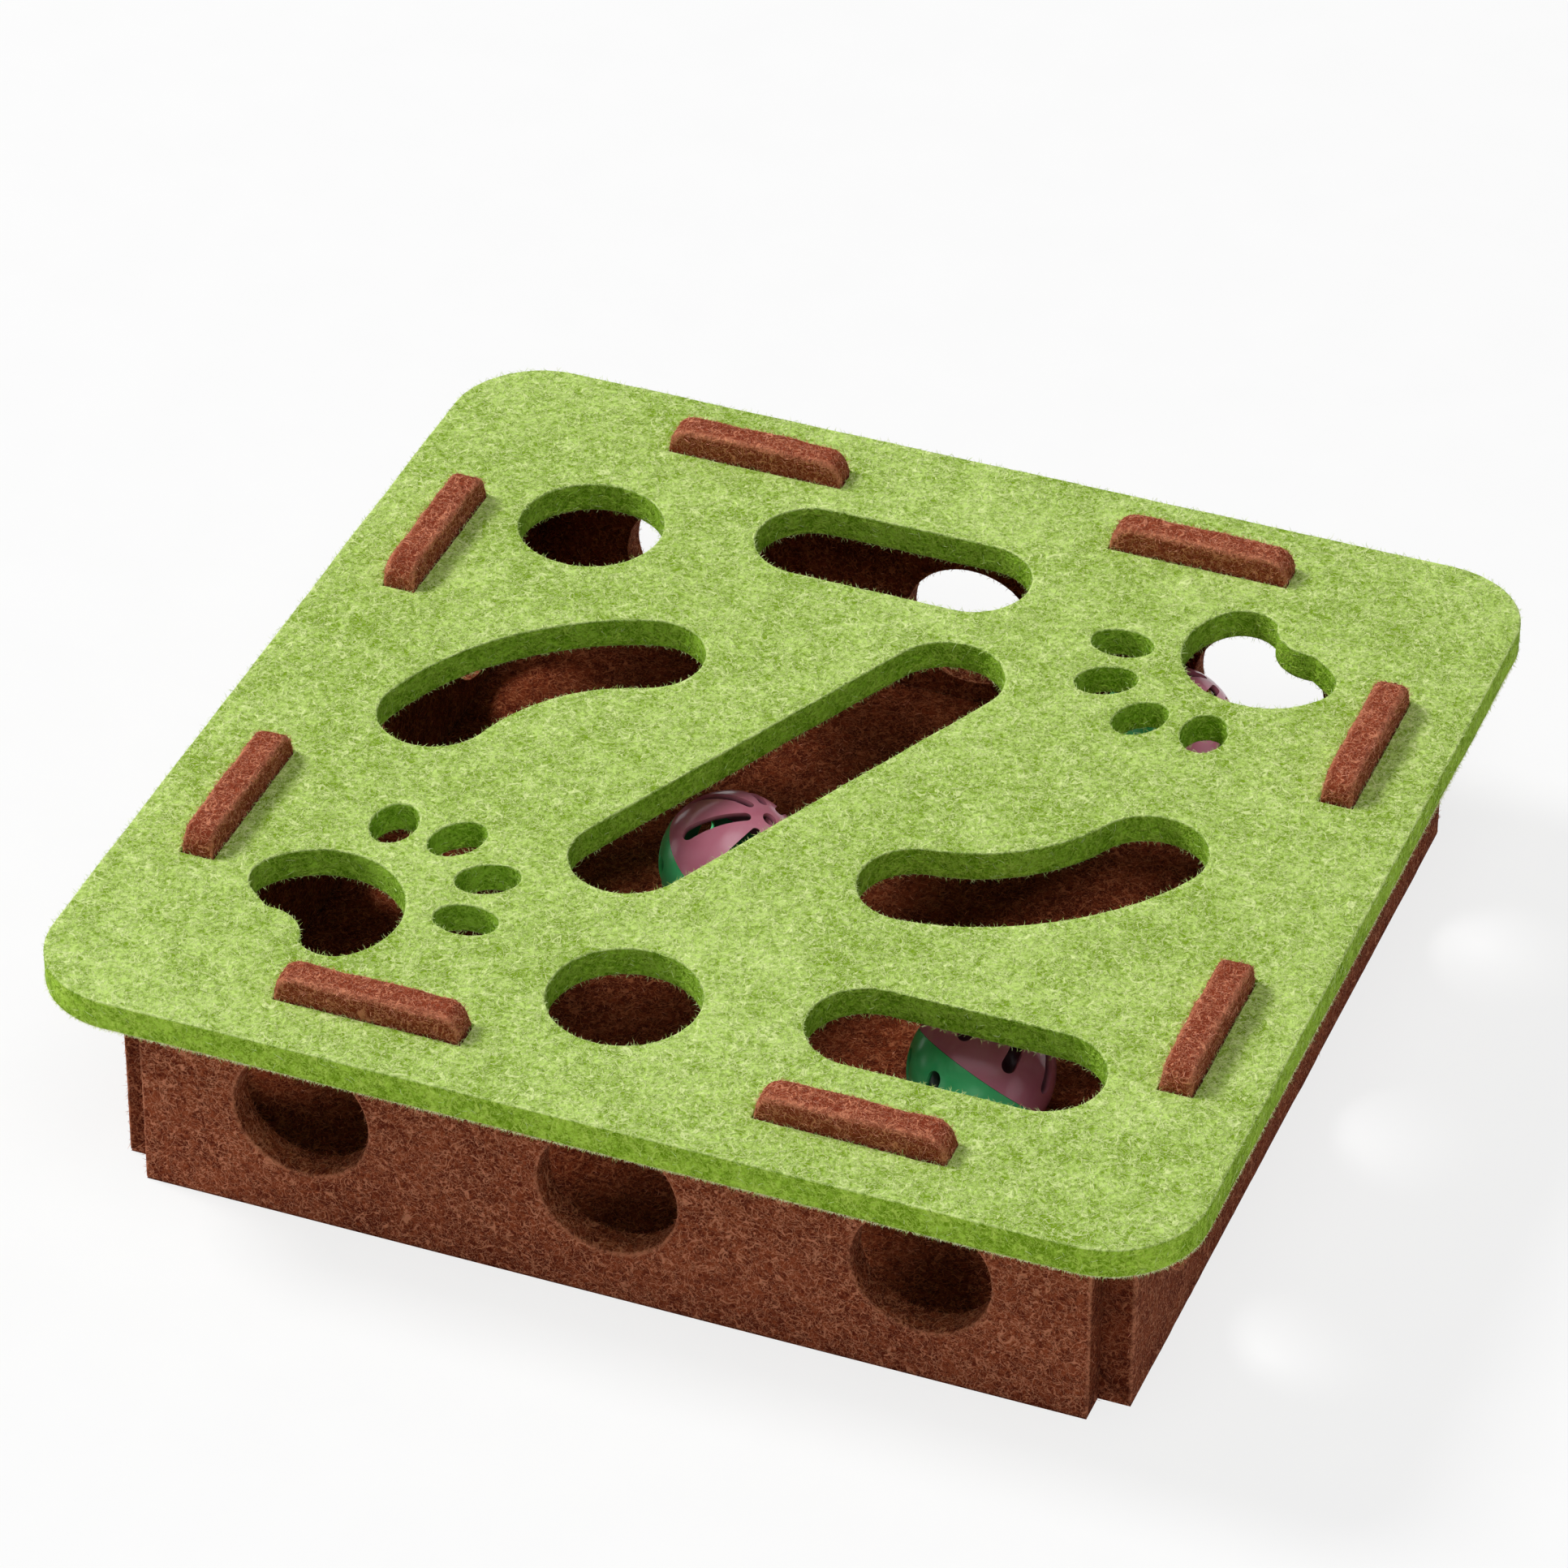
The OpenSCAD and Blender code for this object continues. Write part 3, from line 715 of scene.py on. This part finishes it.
def face_hairs(obj, per_area, longest, lift, rng, test):
    """Hairs that lie on a board's faces, where test says so of their roots."""
    mesh = obj.data
    mesh.calc_loop_triangles()
    hairs = []
    for tri in mesh.loop_triangles:
        want = tri.area * per_area
        count = int(want) + (rng.random() < want - int(want))
        for _ in range(count):
            a, b = sorted((rng.random(), rng.random()))
            corners = [mesh.vertices[i].co for i in tri.vertices]
            root = corners[0] * a + corners[1] * (b - a) + corners[2] * (1 - b)
            lying = tri.normal.orthogonal()
            lying.rotate(Matrix.Rotation(rng.uniform(0, 2 * math.pi), 3, tri.normal))
            way = lying + tri.normal * rng.uniform(*lift)
            length = longest * rng.uniform(*FACE_LENGTHS)
            radius = HAIR_R * rng.uniform(*FACE_WIDTHS)
            if test(root):
                hairs.append((root, way, length, radius))
    return hairs


def dress(obj, body, slot, material, *nodes):
    """Gives a piece its material, its body to ride and the CAD nodes it stands for; the slot is not
    used.
    """
    obj.data.materials.append(material)
    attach(obj, body)
    if nodes:
        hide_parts(*nodes)


def anywhere(root):
    return True


def on_top(root):
    """True of places on the tray floor's upper side, away from the balls' lanes."""
    return root[2] > FLOOR_TOP - FLOOR_SKIN and all(abs(root[1] - y) > LANE_HALF for y in LANES)


def under_rim(root):
    """True of places on the lower edge of the lid's outline."""
    return root[2] < LID_LOW + EDGE_R and max(abs(root[0]), abs(root[1])) > RIM_AT


def outside_lid(root):
    """True of places on a wall that aren't in the lid's slots."""
    return GROUND_GAP < root[2] < LID_LOW - LID_GAP or root[2] > LID_TOP + LID_GAP


def on_tab(root):
    return root[2] > LID_TOP + NAP_GAP


rng = random.Random(SEED)

lid, lid_lines = felt_board("lid_felt", "lid_panel", (0, 0, 1), rng)
dress(lid, "lid", "green_felt", GREEN_FELT, "lid_panel")
hairs = edge_hairs(lid_lines, *LID_FUZZ, rng, anywhere)
dress(fibres("lid_fuzz", hairs, FUZZ_CURL, rng), "lid", "green_felt", GREEN_FIBRE)
hairs = edge_hairs(lid_lines, *RIM_FUZZ, rng, under_rim)
dress(fibres("lid_rim_fuzz", hairs, FUZZ_CURL, rng), "lid", "green_felt", RIM_FIBRE)
hairs = face_hairs(lid, *LID_LINT, LYING, rng, anywhere)
dress(fibres("lid_lint", hairs, LINT_CURL, rng), "lid", "green_felt", GREEN_FIBRE)

for node, direction in WALLS.items():
    wall, lines = felt_board(node + "_felt", node, direction, rng, wall=True)
    dress(wall, "tray", "brown_felt", BROWN_FELT, node)
    hairs = edge_hairs(lines, *WALL_FUZZ, rng, outside_lid)
    hairs += face_hairs(wall, *WALL_LINT, LYING, rng, outside_lid)
    dress(fibres(node + "_lint", hairs, LINT_CURL, rng), "tray", "brown_felt", BROWN_FIBRE)
    hairs = face_hairs(wall, *TAB_NAP, STANDING, rng, on_tab)
    dress(fibres(node + "_tab_nap", hairs, LINT_CURL, rng), "tray", "brown_felt", TAB_FIBRE)

# Floor of the tray: its CAD form with softened folds
bm = cad_bmesh("tray_floor")
bmesh.ops.dissolve_limit(bm, angle_limit=FLAT_ANGLE, verts=bm.verts, edges=bm.edges)
sharp = [e for e in bm.edges if len(e.link_faces) == 2 and e.calc_face_angle() > CORNER]
bmesh.ops.bevel(
    bm,
    geom=sharp,
    offset=FLOOR_EDGE_R,
    segments=FLOOR_EDGE_STEPS,
    profile=0.5,
    affect="EDGES",
    clamp_overlap=True,
)
bmesh.ops.triangulate(bm, faces=bm.faces)
mesh = bpy.data.meshes.new("tray_floor_felt")
bm.to_mesh(mesh)
bm.free()
# painted shade on the floor's upper side, inside the box
upper = [1.0 if v.co.z > FLOOR_TOP - FLOOR_EDGE_R else 0.0 for v in mesh.vertices]
mesh.attributes.new("inner", "FLOAT", "POINT").data.foreach_set("value", upper)
tray_floor = bpy.data.objects.new("tray_floor_felt", mesh)
bpy.context.scene.collection.objects.link(tray_floor)
dress(tray_floor, "tray", "brown_felt", BROWN_FELT, "tray_floor")
hairs = face_hairs(tray_floor, *FLOOR_LINT, LYING, rng, on_top)
dress(fibres("tray_floor_lint", hairs, LINT_CURL, rng), "tray", "brown_felt", BROWN_FIBRE)

# Balls and bells keep their CAD forms
PLASTICS = {
    "pink_half": ((0.89, 0.26, 0.39), (0.95, 0.35, 0.49)),
    "green_half": ((0.09, 0.86, 0.29), (0.17, 0.95, 0.38)),
}
for ball in BALLS:
    halves = [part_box(ball + half) for half in PLASTICS]
    low = [min(box[0][k] for box in halves) for k in range(3)]
    high = [max(box[1][k] for box in halves) for k in range(3)]
    centre = [(a + b) / 2 for a, b in zip(low, high)]
    radius = (high[2] - low[2]) / 2
    looks = {"bell_crown": BELL_METAL, "bell_cup": BELL_METAL, "pellet": PELLET_METAL}
    for half, tones in PLASTICS.items():
        looks[half] = plastic_material(ball + half, *tones, centre, radius)
    for piece, material in looks.items():
        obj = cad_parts[ball + piece]
        obj.data.materials.clear()
        obj.data.materials.append(material)

# Stage: white floor that keeps a soft shadow, plain studio light


def seen_directly(tree):
    """1 for rays from the camera, in mirrors and through glass, else 0."""
    path = add(tree, "ShaderNodeLightPath").outputs
    seen = math_node(tree, "MAXIMUM", path["Is Camera Ray"], path["Is Glossy Ray"])
    return math_node(tree, "MAXIMUM", seen, path["Is Transmission Ray"])


FLOOR_SIZE = 12.0
FLOOR_CELLS = 4
FLOOR_WHITE = 0.78  # share of plain white in the floor as seen, the rest is its lit surface
PAPER_NOISE = (40.0, 3.0)  # scale, detail
PAPER_TONES = ((0.84, 0.84, 0.84), (0.88, 0.88, 0.88))
SKY = 0.14
AIM = (0.0, 0.0, 0.03)
LAMPS = {  # place, size, power
    "key": ((-4.86, 0.40, 5.07), 2.1, 390.0),
    "top": ((1.10, -1.70, 4.70), 3.4, 92.0),
    "fill": ((0.5, -2.2, 0.55), 1.2, 1.0),
}

bpy.ops.mesh.primitive_grid_add(
    x_subdivisions=FLOOR_CELLS, y_subdivisions=FLOOR_CELLS, size=FLOOR_SIZE
)
floor = bpy.context.object
floor.name = "studio_floor"
mat, tree, shader = new_material("studio_floor")
shader.inputs["Roughness"].default_value = 1.0
shader.inputs["Specular IOR Level"].default_value = 0.0
coords = add(tree, "ShaderNodeTexCoord").outputs["Object"]
paper = remap(tree, noise_node(tree, coords, *PAPER_NOISE), *SPREAD)
tree.links.new(mix_colour(tree, paper, *PAPER_TONES), shader.inputs["Base Color"])
glow = add(tree, "ShaderNodeEmission", {"Color": (1, 1, 1, 1), "Strength": 1.0})
share = math_node(tree, "MULTIPLY", seen_directly(tree), FLOOR_WHITE)
mixed = add(tree, "ShaderNodeMixShader", {0: share, 1: shader.outputs[0], 2: glow.outputs[0]})
tree.links.new(mixed.outputs[0], tree.nodes["Material Output"].inputs["Surface"])
floor.data.materials.append(mat)

world = bpy.data.worlds.new("studio")
bpy.context.scene.world = world
world.use_nodes = True
tree = world.node_tree
background = tree.nodes["Background"]
background.inputs["Color"].default_value = (1, 1, 1, 1)
tree.links.new(remap(tree, seen_directly(tree), 0.0, 1.0, SKY, 1.0), background.inputs["Strength"])

for name, (at, size, power) in LAMPS.items():
    data = bpy.data.lights.new(name, "AREA")
    data.shape = "DISK"
    data.size = size
    data.energy = power
    lamp = bpy.data.objects.new(name, data)
    bpy.context.scene.collection.objects.link(lamp)
    look_along(lamp, at, AIM)

camera = bpy.data.objects.new("camera", bpy.data.cameras.new("camera"))
bpy.context.scene.collection.objects.link(camera)
camera.data.lens = LENS_MM
camera.data.clip_end = CLIP_END
look_along(camera, CAMERA_AT, CAMERA_AIM, CAMERA_ROLL)
bpy.context.scene.camera = camera
bpy.context.scene.view_settings.view_transform = "Standard"
